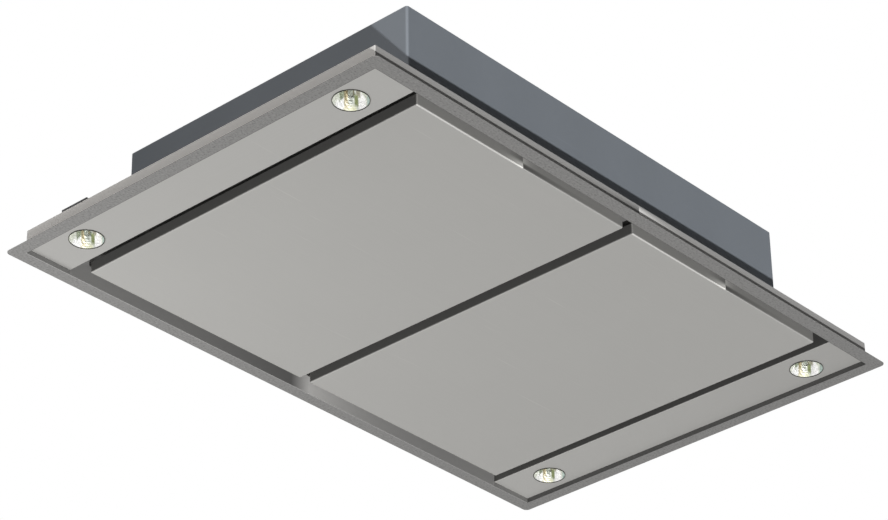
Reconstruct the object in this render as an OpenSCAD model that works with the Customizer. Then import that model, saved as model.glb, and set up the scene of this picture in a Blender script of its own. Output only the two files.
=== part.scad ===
// Ceiling range hood with edge suction, for building into a suspended ceiling.
// Millimetres, +Z up. The origin is the centre of the flange's underside.
// X runs along the long side, and the photographed front is the -Y side.

/* [Flange and tray] */
// Length of the flange along X
flange_l = 1100; // [1000:10:1200]
// Width of the flange along Y
flange_w = 700; // [660:10:760]
// How far the flange reaches past the tray's walls
flange_reach = 20; // [14:1:30]
// Sheet of the flange and the tray
tray_sheet = 1.2; // [0.8:0.1:2]
// Radius of the flange's outer corners
flange_corner_r = 8; // [4:1:12]
// Height of the tray's top above the flange's underside
tray_h = 36; // [34:1:44]

/* [Light strips] */
// Width of a light strip along X
strip_w = 80; // [76:1:90]
// Height of a strip's underside above the flange's underside
strip_rise = 7; // [5:1:9]
// Sheet of the light strips
strip_sheet = 1; // [0.8:0.1:1.5]
// Height of the strips' short folded edges
strip_fold_h = 12; // [8:1:16]
// Distance of a lamp's axis from the flange's end
lamp_inset_x = 60; // [56:1:64]
// Distance of a lamp's axis from the flange's long edge
lamp_inset_y = 100; // [80:1:140]

/* [Suction panels] */
// Width of the suction slots round the panels
slot_w = 20; // [16:1:24]
// Height of a panel's underside above the flange's underside
panel_rise = 3; // [2:0.5:4]
// Depth of a panel's folded walls
panel_depth = 17.5; // [15:0.5:18]
// Sheet of the panels' skins
panel_sheet = 1; // [0.8:0.1:1.2]
// Sheet of the panels' back pans
back_sheet = 0.8; // [0.6:0.1:1]

/* [Grease filters] */
// Space between a filter and the housing's end
filter_end_gap = 20; // [12:1:40]
// Space between the two filters
filter_centre_gap = 40; // [30:1:60]
// Thickness of a filter
filter_h = 10; // [9:1:14]
// Pleats of the mesh pack
mesh_pleats = 24; // [12:1:30]

/* [Housing] */
// Length of the housing along X
housing_l = 800; // [780:5:820]
// Width of the housing along Y
housing_w = 534; // [520:2:560]
// Height of the housing's top above the flange's underside
housing_top_z = 195; // [192:1:230]
// Sheet of the housing
housing_sheet = 1; // [0.8:0.1:1.5]
// Outer radius of the housing's upright bends
housing_bend_r = 4; // [2:0.5:6]

/* [Blower and duct] */
// Outer radius of the impeller
impeller_r = 88; // [80:1:92]
// Blades of the impeller
blade_count = 32; // [24:1:40]
// Space between the duct collar and the housing's edges
duct_edge_gap = 4.5; // [4:0.5:15]
// Room between the scroll's back and the housing's wall
blower_room = 13.8; // [8:0.2:24]
// How far the duct collar stands out of the housing
duct_reach = 46; // [36:1:60]

/* [Hidden] */
$fn = 64;
// Overrun of every cut through the face it opens
over = 1;
// Side-by-side clearance of pieces that move or are slipped in
clear = 0.3;
// Radial clearance of a running fit
run_fit = 0.05;
SIDES = [-1, 1];

// Places that follow from the sizes
wall_x = flange_l / 2 - flange_reach;
wall_y = flange_w / 2 - flange_reach;
pocket_x = wall_x - tray_sheet;
pocket_y = wall_y - tray_sheet;
plate_z = tray_h - tray_sheet;
strip_x = pocket_x - strip_w;
strip_top = strip_rise + strip_sheet;
lamp_x = flange_l / 2 - lamp_inset_x;
lamp_y = flange_w / 2 - lamp_inset_y;
panel_l = (2 * strip_x - 3 * slot_w) / 2;
panel_w = 2 * (pocket_y - slot_w);
panel_x = slot_w / 2 + panel_l / 2;
panel_top = panel_rise + panel_depth;
housing_x = housing_l / 2;
housing_y = housing_w / 2;
lid_z = housing_top_z - housing_sheet;

// Lamp: radii and heights from the strip's underside
lamp_hole_r = 25.3;
bezel_r = lamp_hole_r - run_fit;
bezel_drop = 1.4;
bezel_lip_h = 1;
bezel_lip_w = 1;
bezel_wall = 0.6;
bezel_h = 5.4;
bezel_flange_r = 29;
bezel_flange_h = 1.2;
reflector_r = bezel_r - bezel_wall - run_fit;
reflector_wall = 0.8;
reflector_h = 22.4;
reflector_neck_r = 6.5;
reflector_steps = 10;
bulb_r = 4.5;
bulb_tip_h = 5;
bulb_h = 14;
pinch_l = 8;
pinch_t = 3;
pinch_h = 9;
socket_r = 9;
socket_h = 17;
socket_collar_r = 14;
socket_collar_h = 2;
lamp_box_l = 40;
lamp_box_w = 52;
lamp_box_h = 15;
lamp_box_sheet = 1;
terminal_block_gap = 0.5;
terminal_block_w = 13;
terminal_block_l = 50;
terminal_block_h = 9;
terminal_block_shift = -9;
terminal_ways = 4;
terminal_way_step = 11;
terminal_way_r = 2;
terminal_way_depth = 8;

// Hinges of the panels
hinge_inset = 7.5;
hinge_y = panel_w / 2 - hinge_inset;
hinge_lift = 4.5;
hinge_z = panel_top + hinge_lift;
hinge_share = 0.33;
knuckle_r = 3.5;
knuckle_l = 30;
hinge_pin_r = 2;
hinge_head_r = 3;
hinge_head_t = 1;
leaf_t = 1.5;
leaf_w = 26;
ear_t = 2;
ear_r = 4;
bracket_t = 1.5;
bracket_front = 16;

// Magnet catches
magnet_l = 36;
magnet_w = 14;
magnet_case_t = 2;
catch_inset = 9;
strike_t = 1;
catch_share = 0.3;

// Stiffening channels of the back pans
channel_w = 30;
channel_share = 0.22;
channel_end_gap = 40;

// Folds of the housing
fold_w = 12;

// Grease filters and their rails
filter_l = housing_x - filter_end_gap - filter_centre_gap / 2;
filter_x = (filter_centre_gap + filter_l) / 2;
filter_lift = 2;
filter_z = tray_h + filter_lift;
filter_gap = 2;
rail_side_gap = 1;
filter_border = 12;
filter_front_border = 36;
mesh_t = 1.2;
mesh_edge_gap = 1;
rail_t = 1.2;
rail_lip = 8;
rail_foot = 12;
filter_w = 2 * (housing_y - fold_w - rail_side_gap - rail_foot - filter_gap);
latch_r = 2.5;
latch_reach = 6;
latch_l = 28;
latch_tab_w = 16;
latch_tab_t = 3;
latch_tab_drop = 12;
latch_travel = 6;

// Blower
fan_x_share = 0.25;
fan_x = housing_x * fan_x_share;
scroll_wall = 1;
scroll_h = 100;
duct_z = (tray_h + housing_top_z) / 2;
scroll_z = duct_z - scroll_h / 2;
scroll_gap = 12;
scroll_growth = 65;
scroll_steps = 44;
tongue_angle = 45;
outlet_half_w = 70;
fan_y = -(housing_y - blower_room - scroll_r(180));
inlet_r = 66;
inlet_ring_r = 80;
inlet_throat_r = 60;
inlet_ring_t = 1.2;
inlet_ring_depth = 7;
inlet_steps = 6;
impeller_gap = 10;
impeller_z = scroll_z + impeller_gap;
impeller_h = 74;
impeller_ring_w = 22;
impeller_ring_t = 2;
blade_t = 1.2;
blade_depth = 16;
blade_lean = 35;
cup_r = 50;
cup_wall = 1.5;
cup_depth = 45;
hub_r = 10;
hub_h = 8;
shaft_r = 4;
motor_r = 42;
motor_gap = 4;
motor_rim_r = 47;
motor_rim_h = 4;
motor_shaft_depth = 40;
motor_hole_r = 52;
spider_r = 62;
spider_t = 2;
isolator_r = 9;
isolator_reach_share = 0.94;
isolator_neck_r = 6;
isolator_neck_share = 0.4;

// Duct collar and its two flaps
duct_r = (housing_top_z - tray_h) / 2 - duct_edge_gap;
duct_wall = 1;
duct_bore_r = duct_r - duct_wall;
duct_plate_t = 1.5;
duct_plate_rim = 15;
duct_plate_gap = 2.5;
duct_plate_w = 2 * (duct_r + duct_plate_rim);
duct_plate_h = housing_top_z - tray_h - 2 * duct_plate_gap;
flap_offset = 12;
flap_x = housing_x + flap_offset;
flap_t = 1;
flap_edge_gap = 0.5;
flap_start = 3.2;
flap_knuckle_r = 2.8;
flap_pin_r = 1.5;
flap_pin_end_gap = 0.2;
flap_knuckle_share = 0.35;
flap_knuckle_step = duct_bore_r * flap_knuckle_share;
flap_knuckle_l = flap_knuckle_step - 2 * clear;

// Control box, cable gland and hanging brackets
control_l = 150;
control_w = 150;
control_h = 44;
control_wall = 1.6;
control_inset = 48;
control_x = -housing_x + control_inset + control_l / 2;
board_margin = 8;
board_t = 1.6;
standoff_r = 3;
standoff_h = 8;
relay_l = 28;
relay_w = 12;
relay_h = 15;
capacitor_r = 12;
capacitor_share = 0.34;
capacitor_h = 26;
transformer_l = 42;
transformer_h = 24;
terminal_l = 60;
terminal_w = 16;
terminal_h = 14;
gland_r = 9;
gland_bore_r = 4.5;
gland_nut_r = 12;
gland_nut_h = 5;
gland_reach = 14;
gland_inset = 80;
gland_drop = 30;
gland_x = -housing_x + gland_inset;
gland_z = lid_z - gland_drop;
hanger_l = 50;
hanger_w = 40;
hanger_t = 3;
hanger_rise = 20;
hanger_hole_r = 4.5;
hanger_inset_x = 130;
hanger_inset_y = 77;
hanger_x = housing_x - hanger_inset_x;
hanger_y = housing_y - hanger_inset_y;
screw_r = 2;
screw_head_r = 4;
screw_head_h = 2.4;
screw_l = 6;
fold_screw_l = 3;
fold_screw_x_shares = [-0.9, -0.3, 0.3, 0.9];
fold_screw_y_shares = [-0.45, 0.45];
screw_inset = 13;

// Shared shapes

module centred_box(size, z) {
    translate([-size[0] / 2, -size[1] / 2, z]) cube(size);
}

module rounded_plan(length, width, r) {
    square([length - 2 * r, width], center = true);
    square([length, width - 2 * r], center = true);
    for (sx = SIDES, sy = SIDES)
        translate([sx * (length / 2 - r), sy * (width / 2 - r)]) circle(r);
}

module rounded_plate(length, width, h, r, z) {
    translate([0, 0, z]) linear_extrude(h) rounded_plan(length, width, r);
}

module ring(r_out, r_in, h) {
    difference() {
        cylinder(r = r_out, h = h);
        translate([0, 0, -over]) cylinder(r = r_in, h = h + 2 * over);
    }
}

// Lamps are numbered 1 to 4: left front, left back, right front, right back.
function lamp_side_x(n) = n < 3 ? -1 : 1;
function lamp_side_y(n) = n % 2 == 1 ? -1 : 1;

module at_lamp(n) {
    translate([lamp_side_x(n) * lamp_x, lamp_side_y(n) * lamp_y, 0]) children();
}

module at_side(side) {
    translate([side * panel_x, 0, 0]) children();
}

// Flange and tray

module flange_frame() {
    color("silver") difference() {
        rounded_plate(flange_l, flange_w, tray_sheet, flange_corner_r, 0);
        centred_box([2 * wall_x, 2 * wall_y, tray_sheet + 2 * over], -over);
    }
}

module tray_shell() {
    opening_l = filter_l + 2 * filter_gap;
    opening_w = filter_w + 2 * filter_gap;
    color("gainsboro") difference() {
        centred_box([2 * wall_x, 2 * wall_y, tray_h], 0);
        centred_box([2 * pocket_x, 2 * pocket_y, plate_z + over], -over);
        at_fold_screws(tray_h) screw_hole();
        for (side = SIDES) translate([side * filter_x, 0, 0])
            centred_box([opening_l, opening_w, tray_sheet + 2 * over], plate_z - over);
        for (n = [1 : 4]) at_lamp(n)
            translate([0, 0, plate_z - over]) cylinder(r = socket_r + clear, h = tray_sheet + 2 * over);
    }
}

// A strip is a folded plate: underside with two lamp holes, a tall wall
// towards the slot and short folds against the tray's walls.
module light_strip(side) {
    color("gainsboro") difference() {
        union() {
            translate([side > 0 ? strip_x : -pocket_x, -pocket_y, strip_rise])
                cube([strip_w, 2 * pocket_y, strip_sheet]);
            translate([side > 0 ? strip_x : -strip_x - strip_sheet, -pocket_y, strip_rise])
                cube([strip_sheet, 2 * pocket_y, plate_z - strip_rise]);
            translate([side > 0 ? pocket_x - strip_sheet : -pocket_x, -pocket_y, strip_rise])
                cube([strip_sheet, 2 * pocket_y, strip_fold_h]);
            for (end = SIDES)
                translate([side > 0 ? strip_x : -pocket_x, end > 0 ? pocket_y - strip_sheet : -pocket_y, 0])
                    translate([0, 0, strip_rise]) cube([strip_w, strip_sheet, strip_fold_h]);
        }
        for (end = SIDES)
            translate([side * lamp_x, end * lamp_y, strip_rise - over])
                cylinder(r = lamp_hole_r, h = strip_sheet + 2 * over);
    }
}

// Lamps

module lamp_bezel(n) {
    bottom = strip_rise - bezel_drop;
    lip_top = bottom + bezel_lip_h;
    color("dimgray") at_lamp(n) difference() {
        union() {
            translate([0, 0, bottom]) cylinder(r = bezel_r, h = bezel_h);
            translate([0, 0, strip_top]) cylinder(r = bezel_flange_r, h = bezel_flange_h);
        }
        translate([0, 0, bottom - over]) cylinder(r = bezel_r - bezel_lip_w, h = bezel_h + 2 * over);
        translate([0, 0, lip_top]) cylinder(r = bezel_r - bezel_wall, h = bezel_h);
    }
}

// Radius of the reflector's bowl at a share of its height from the mouth
function bowl_r(share) = reflector_neck_r + (reflector_r - reflector_neck_r) * sqrt(1 - share);

module lamp_reflector(n) {
    mouth_z = strip_rise - bezel_drop + bezel_lip_h;
    shares = [for (i = [0 : reflector_steps]) i / reflector_steps];
    outer = [for (share = shares) [bowl_r(share), reflector_h * share]];
    inner = [for (share = shares) [bowl_r(1 - share) - reflector_wall, reflector_h * (1 - share)]];
    color("whitesmoke") at_lamp(n) translate([0, 0, mouth_z])
        rotate_extrude() polygon(concat(outer, inner));
}

bulb_z = strip_rise - bezel_drop + bezel_lip_h + bulb_tip_h;
reflector_top = strip_rise - bezel_drop + bezel_lip_h + reflector_h;

module lamp_bulb(n) {
    color("lightyellow") at_lamp(n) {
        translate([0, 0, bulb_z + bulb_r]) sphere(r = bulb_r);
        translate([0, 0, bulb_z + bulb_r]) cylinder(r = bulb_r, h = bulb_h - bulb_r);
        centred_box([pinch_l, pinch_t, pinch_h], bulb_z + bulb_h);
    }
}

module lamp_sockets() {
    recess_l = pinch_l + 2 * run_fit;
    recess_t = pinch_t + 2 * run_fit;
    color("ivory") for (n = [1 : 4]) at_lamp(n) difference() {
        union() {
            translate([0, 0, reflector_top]) cylinder(r = socket_r, h = socket_h);
            translate([0, 0, tray_h]) cylinder(r = socket_collar_r, h = socket_collar_h);
        }
        centred_box([recess_l, recess_t, bulb_z + bulb_h + pinch_h - reflector_top + over],
                    reflector_top - over);
    }
}

module lamp_housings() {
    inner_l = lamp_box_l - 2 * lamp_box_sheet;
    inner_w = lamp_box_w - 2 * lamp_box_sheet;
    color("darkslategray") for (n = [1 : 4]) at_lamp(n) difference() {
        centred_box([lamp_box_l, lamp_box_w, lamp_box_h], tray_h);
        centred_box([inner_l, inner_w, lamp_box_h - lamp_box_sheet + over], tray_h - over);
    }
}

// The block that joins the lamps' wires, with one round way in for each wire
module lamp_terminal() {
    x = -lamp_x - lamp_box_l / 2 - terminal_block_gap;
    y = lamp_y + terminal_block_shift;
    first = (terminal_ways - 1) / 2;
    color("dimgray") difference() {
        translate([x - terminal_block_w, y - terminal_block_l / 2, tray_h])
            cube([terminal_block_w, terminal_block_l, terminal_block_h]);
        for (i = [0 : terminal_ways - 1])
            translate([x - terminal_block_w - over, y + (i - first) * terminal_way_step,
                       tray_h + terminal_block_h / 2])
                rotate([0, 90, 0]) cylinder(r = terminal_way_r, h = terminal_way_depth + over);
    }
}

// Suction panels

module panel_skin(side) {
    color("lightgray") at_side(side) difference() {
        centred_box([panel_l, panel_w, panel_depth], panel_rise);
        centred_box([panel_l - 2 * panel_sheet, panel_w - 2 * panel_sheet, panel_depth],
                    panel_rise + panel_sheet);
    }
}

// The back pan closes the skin, and two channels under it stiffen it.
module panel_back(side) {
    channel_z = panel_rise + panel_sheet;
    channel_h = panel_depth - panel_sheet - back_sheet;
    inner_l = panel_l - 2 * panel_sheet;
    channel_l = panel_w - 2 * channel_end_gap;
    color("darkgray") at_side(side) {
        centred_box([inner_l, panel_w - 2 * panel_sheet, back_sheet], panel_top - back_sheet);
        for (s = SIDES) translate([s * panel_l * channel_share, 0, 0]) difference() {
            centred_box([channel_w, channel_l, channel_h], channel_z);
            centred_box([channel_w - 2 * back_sheet, channel_l + 2 * over, channel_h - back_sheet + over],
                        channel_z + back_sheet);
        }
    }
}

function hinge_places(side) = [for (s = SIDES) side * panel_x + s * panel_l * hinge_share];

module across_x(x, h) {
    translate([x - h / 2, hinge_y, hinge_z]) rotate([0, 90, 0]) linear_extrude(h) children();
}

module hinge_leaves(side) {
    color("gray") for (x = hinge_places(side)) difference() {
        union() {
            across_x(x, knuckle_l) circle(knuckle_r);
            translate([x - knuckle_l / 2, hinge_y - leaf_w, panel_top]) cube([knuckle_l, leaf_w, leaf_t]);
        }
        across_x(x, knuckle_l + 2 * over) circle(hinge_pin_r + run_fit);
    }
}

module hinge_brackets() {
    ear_h = plate_z - hinge_z;
    bracket_l = knuckle_l + 2 * clear + 2 * ear_t;
    color("gray") for (side = SIDES, x = hinge_places(side)) difference() {
        union() {
            translate([x - bracket_l / 2, hinge_y - bracket_front, plate_z - bracket_t])
                cube([bracket_l, bracket_front + ear_r, bracket_t]);
            for (s = SIDES) {
                ear_x = x + s * (knuckle_l / 2 + clear + ear_t / 2);
                across_x(ear_x, ear_t) circle(ear_r);
                translate([ear_x - ear_t / 2, hinge_y - ear_r, hinge_z]) cube([ear_t, 2 * ear_r, ear_h]);
            }
        }
        across_x(x, bracket_l + 2 * over) circle(hinge_pin_r + run_fit);
    }
}

module hinge_pins() {
    pin_l = knuckle_l + 2 * clear + 2 * ear_t;
    color("lightslategray") for (side = SIDES, x = hinge_places(side)) {
        across_x(x, pin_l) circle(hinge_pin_r);
        for (s = SIDES) across_x(x + s * (pin_l + hinge_head_t) / 2, hinge_head_t) circle(hinge_head_r);
    }
}

function catch_places(side) = [for (s = SIDES) side * panel_x + s * panel_l * catch_share];
catch_y = -panel_w / 2 + catch_inset;

module strike_plates(side) {
    color("slategray") for (x = catch_places(side))
        translate([x - magnet_l / 2, catch_y, panel_top]) cube([magnet_l, magnet_w, strike_t]);
}

module catch_magnets() {
    bottom = panel_top + strike_t + clear;
    color("dimgray") for (side = SIDES, x = catch_places(side))
        translate([x - magnet_l / 2, catch_y, bottom]) difference() {
            cube([magnet_l, magnet_w, plate_z - bottom]);
            translate([-over, magnet_case_t, magnet_w / 2])
                cube([magnet_l + 2 * over, magnet_w - 2 * magnet_case_t, magnet_case_t]);
        }
}

// Grease filters

latch_y = -filter_w / 2 - latch_reach;
latch_z = filter_z + filter_h / 2;
tab_y = latch_y + latch_l - latch_tab_t;

module along_y(y, z, h, r) {
    translate([0, y, z]) rotate([-90, 0, 0]) cylinder(r = r, h = h);
}

module filter_frame(side) {
    window_l = filter_l - 2 * filter_border;
    window_front = -filter_w / 2 + filter_front_border;
    window_w = filter_w - filter_border - filter_front_border;
    tab_slot_l = latch_tab_w + 2 * clear;
    tab_slot_w = latch_travel + latch_tab_t + 2 * clear;
    color("lightsteelblue") translate([side * filter_x, 0, 0]) difference() {
        centred_box([filter_l, filter_w, filter_h], filter_z);
        translate([-window_l / 2, window_front, filter_z - over])
            cube([window_l, window_w, filter_h + 2 * over]);
        translate([-tab_slot_l / 2, tab_y - clear, filter_z - over])
            cube([tab_slot_l, tab_slot_w, filter_h + 2 * over]);
        along_y(-filter_w / 2 - over, latch_z, latch_l, latch_r + clear);
    }
}

// The mesh pack is one pleated sheet from end to end of the frame's window.
module filter_mesh(side) {
    window_l = filter_l - 2 * filter_border;
    window_front = -filter_w / 2 + filter_front_border;
    window_w = filter_w - filter_border - filter_front_border;
    pleat_h = filter_h - 2 * mesh_edge_gap - mesh_t;
    folds = 2 * mesh_pleats;
    under = [for (i = [0 : folds]) [window_w * i / folds, i % 2 * pleat_h]];
    above = [for (i = [folds : -1 : 0]) [window_w * i / folds, i % 2 * pleat_h + mesh_t]];
    color("silver") translate([side * filter_x - window_l / 2, window_front, filter_z + mesh_edge_gap])
        rotate([90, 0, 90]) linear_extrude(window_l) polygon(concat(under, above));
}

module filter_latch(side) {
    color("black") translate([side * filter_x, 0, 0]) {
        along_y(latch_y, latch_z, latch_l, latch_r);
        translate([-latch_tab_w / 2, tab_y, latch_z - latch_tab_drop])
            cube([latch_tab_w, latch_tab_t, latch_tab_drop]);
    }
}

// The back rail carries a filter on its lip, and the front rail takes the
// latch's bolt.
module filter_rails() {
    web_y = filter_w / 2 + filter_gap;
    web_h = filter_lift + filter_h;
    color("darkgray") for (side = SIDES) translate([side * filter_x, 0, 0]) {
        translate([-filter_l / 2, web_y, tray_h]) cube([filter_l, rail_t, web_h]);
        translate([-filter_l / 2, web_y, tray_h]) cube([filter_l, rail_foot, rail_t]);
        translate([-filter_l / 2, web_y - rail_lip, filter_z - rail_t])
            cube([filter_l, rail_lip + rail_t, rail_t]);
        difference() {
            union() {
                translate([-filter_l / 2, -web_y - rail_t, tray_h]) cube([filter_l, rail_t, web_h]);
                translate([-filter_l / 2, -web_y - rail_foot, tray_h]) cube([filter_l, rail_foot, rail_t]);
            }
            along_y(-web_y - rail_foot - over, latch_z, rail_foot + 2 * over, latch_r + clear);
        }
    }
}

// Housing

module housing_ring(h, depth, z) {
    inner_r = max(housing_bend_r - housing_sheet, run_fit);
    difference() {
        rounded_plate(housing_l, housing_w, h, housing_bend_r, z);
        rounded_plate(housing_l - 2 * depth, housing_w - 2 * depth, h + 2 * over, inner_r, z - over);
    }
}

module housing_walls() {
    housing_ring(lid_z - tray_h, housing_sheet, tray_h);
    housing_ring(housing_sheet, fold_w, tray_h);
    housing_ring(housing_sheet, fold_w, lid_z - housing_sheet);
}

module housing_back_room() {
    translate([-housing_x + fold_w, housing_y - fold_w, tray_h - over])
        cube([2 * (housing_x - fold_w), fold_w + over, lid_z - tray_h + 2 * over]);
}

// The wrap is the front sheet with both ends, bent from one blank, and it ends
// in narrow returns at the back corners. The back sheet stands between them.
module housing_wrap() {
    color("lightslategray") difference() {
        housing_walls();
        housing_back_room();
        along_duct(0) cylinder(r = duct_bore_r, h = housing_l);
        for (z = [tray_h, lid_z]) at_fold_screws(z) screw_hole();
    }
}

module housing_back() {
    color("lightslategray") difference() {
        intersection() {
            housing_walls();
            housing_back_room();
        }
        along_gland() cylinder(r = gland_r + run_fit, h = 2 * fold_w, center = true);
        for (z = [tray_h, lid_z]) at_fold_screws(z) screw_hole();
    }
}

module housing_lid() {
    color("slategray") difference() {
        rounded_plate(housing_l, housing_w, housing_sheet, housing_bend_r, lid_z);
        at_fold_screws(lid_z) screw_hole();
        at_hanger_screws() screw_hole();
    }
}

// Blower: the scroll's wall moves out from its tongue, clockwise from above,
// and ends in an outlet that flares to the duct collar.
function scroll_r(angle) = impeller_r + scroll_gap + scroll_growth * angle / 360;

function scroll_outline(inset) = concat(
    [[housing_x - housing_sheet, -outlet_half_w + inset]],
    [for (i = [0 : scroll_steps])
        let (angle = tongue_angle + (360 - tongue_angle) * i / scroll_steps, r = scroll_r(angle) - inset)
        [fan_x + r * sin(angle), fan_y + r * cos(angle)]],
    [[housing_x - housing_sheet, outlet_half_w - inset]]);

module blower_scroll() {
    color("silver") difference() {
        translate([0, 0, scroll_z]) linear_extrude(scroll_h) polygon(scroll_outline(0));
        translate([0, 0, scroll_z + scroll_wall]) linear_extrude(scroll_h - 2 * scroll_wall)
            polygon(scroll_outline(scroll_wall));
        translate([housing_x - fold_w, -outlet_half_w + 2 * scroll_wall, scroll_z + scroll_wall])
            cube([2 * fold_w, 2 * outlet_half_w - 4 * scroll_wall, scroll_h - 2 * scroll_wall]);
        translate([fan_x, fan_y, scroll_z - over]) cylinder(r = inlet_r, h = scroll_wall + 2 * over);
        translate([fan_x, fan_y, scroll_z + scroll_h - scroll_wall - over])
            cylinder(r = motor_hole_r, h = scroll_wall + 2 * over);
    }
}

// The ring's section is a quarter turn from its flange up into the throat.
module inlet_ring() {
    turn_r = inlet_r - inlet_throat_r;
    outer = [for (i = [0 : inlet_steps]) let (a = 90 * i / inlet_steps)
             [inlet_r - turn_r * sin(a), turn_r * (1 - cos(a))]];
    inner = [for (i = [inlet_steps : -1 : 0]) let (a = 90 * i / inlet_steps, r = turn_r + inlet_ring_t)
             [inlet_r - r * sin(a), turn_r - r * cos(a)]];
    color("gray") translate([fan_x, fan_y, scroll_z]) {
        translate([0, 0, -inlet_ring_t]) ring(inlet_ring_r, inlet_r, inlet_ring_t);
        rotate_extrude() polygon(concat(outer, inner));
        translate([0, 0, turn_r])
            ring(inlet_throat_r, inlet_throat_r - inlet_ring_t, inlet_ring_depth - turn_r);
    }
}

module impeller() {
    plate_top = impeller_z + impeller_h;
    cup_bottom = plate_top - cup_depth;
    blade_mid_r = impeller_r - blade_depth / 2 - blade_t;
    color("darkgray") translate([fan_x, fan_y, 0]) difference() {
        union() {
            translate([0, 0, impeller_z]) ring(impeller_r, impeller_r - impeller_ring_w, impeller_ring_t);
            translate([0, 0, plate_top - impeller_ring_t])
                ring(impeller_r, cup_r - cup_wall, impeller_ring_t);
            translate([0, 0, cup_bottom]) ring(cup_r, cup_r - cup_wall, cup_depth);
            translate([0, 0, cup_bottom]) cylinder(r = cup_r, h = cup_wall);
            translate([0, 0, cup_bottom - hub_h]) cylinder(r = hub_r, h = hub_h);
            for (i = [1 : blade_count]) rotate([0, 0, 360 * i / blade_count])
                translate([blade_mid_r, 0, impeller_z]) rotate([0, 0, blade_lean])
                    centred_box([blade_depth, blade_t, impeller_h], 0);
        }
        translate([0, 0, cup_bottom - hub_h - over])
            cylinder(r = shaft_r + run_fit, h = hub_h + cup_wall + 2 * over);
    }
}

cup_floor_z = impeller_z + impeller_h - cup_depth + cup_wall;
motor_z = cup_floor_z + motor_gap;
scroll_top = scroll_z + scroll_h;

module motor_shaft() {
    color("lightgray") translate([fan_x, fan_y, cup_floor_z - cup_wall - hub_h - over])
        cylinder(r = shaft_r, h = over + hub_h + cup_wall + motor_gap + motor_shaft_depth);
}

module motor() {
    rim_z = scroll_top + spider_t;
    color("dimgray") translate([fan_x, fan_y, 0]) difference() {
        union() {
            translate([0, 0, motor_z]) cylinder(r = motor_r, h = rim_z - motor_z);
            translate([0, 0, rim_z]) cylinder(r = motor_rim_r, h = motor_rim_h);
        }
        translate([0, 0, motor_z - over])
            cylinder(r = shaft_r + run_fit, h = motor_shaft_depth + over + clear);
    }
}

module motor_spider() {
    color("gray") translate([fan_x, fan_y, scroll_top]) ring(spider_r, motor_r + clear, spider_t);
}

// Rubber mounts that hang the scroll from the lid
module blower_mounts() {
    reach = (impeller_r + scroll_gap) * isolator_reach_share - isolator_r;
    h = lid_z - scroll_top;
    color("black") for (a = [45 : 90 : 315])
        translate([fan_x + reach * cos(a), fan_y + reach * sin(a), scroll_top]) rotate_extrude()
            polygon([[0, 0], [isolator_r, 0], [isolator_r, h * (1 - isolator_neck_share) / 2],
                     [isolator_neck_r, h / 2], [isolator_r, h * (1 + isolator_neck_share) / 2],
                     [isolator_r, h], [0, h]]);
}

// Duct collar

module along_duct(x) {
    translate([x, 0, duct_z]) rotate([0, 90, 0]) children();
}

module duct_plate() {
    color("slategray") difference() {
        translate([housing_x, -duct_plate_w / 2, duct_z - duct_plate_h / 2])
            cube([duct_plate_t, duct_plate_w, duct_plate_h]);
        along_duct(housing_x - over) cylinder(r = duct_bore_r, h = duct_plate_t + 2 * over);
    }
}

module duct_collar() {
    color("gray") difference() {
        along_duct(housing_x + duct_plate_t) cylinder(r = duct_r, h = duct_reach - duct_plate_t);
        along_duct(housing_x - over) cylinder(r = duct_bore_r, h = duct_reach + 2 * over);
        translate([flap_x, 0, duct_z]) cylinder(r = flap_pin_r + run_fit, h = 2 * duct_r, center = true);
    }
}

module damper_pin() {
    color("lightgray") translate([flap_x, 0, duct_z])
        cylinder(r = flap_pin_r, h = 2 * (duct_r - flap_pin_end_gap), center = true);
}

// Each flap is half a disc with two knuckles on the pin: the front flap's
// knuckles take the even places, the back flap's the odd ones.
module damper_flap(side) {
    first = side < 0 ? -2 : -1;
    color("gainsboro") translate([flap_x, 0, duct_z]) {
        difference() {
            translate([-flap_t / 2, 0, 0]) rotate([0, 90, 0])
                cylinder(r = duct_bore_r - flap_edge_gap, h = flap_t);
            translate([-duct_r, side > 0 ? -2 * duct_r + flap_start : -flap_start, -duct_r])
                cube([2 * duct_r, 2 * duct_r, 2 * duct_r]);
        }
        for (i = [first, first + 2]) translate([0, 0, i * flap_knuckle_step]) difference() {
            union() {
                cylinder(r = flap_knuckle_r, h = flap_knuckle_l);
                translate([-flap_t / 2, side > 0 ? 0 : -flap_start - flap_t, 0])
                    cube([flap_t, flap_start + flap_t, flap_knuckle_l]);
            }
            translate([0, 0, -over]) cylinder(r = flap_pin_r + run_fit, h = flap_knuckle_l + 2 * over);
        }
    }
}

// Control box

control_z = lid_z - control_h;

module at_control() {
    translate([control_x, 0, 0]) children();
}

module control_box() {
    color("whitesmoke") at_control() {
        difference() {
            centred_box([control_l, control_w, control_h], control_z);
            centred_box([control_l - 2 * control_wall, control_w - 2 * control_wall, control_h],
                        control_z - control_wall);
        }
        for (sx = SIDES, sy = SIDES)
            translate([sx * (control_l / 2 - 2 * board_margin), sy * (control_w / 2 - 2 * board_margin),
                       lid_z - control_wall - standoff_h])
                cylinder(r = standoff_r, h = standoff_h);
    }
}

module control_cover() {
    color("gainsboro") at_control()
        centred_box([control_l, control_w, control_wall], control_z - control_wall);
}

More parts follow.
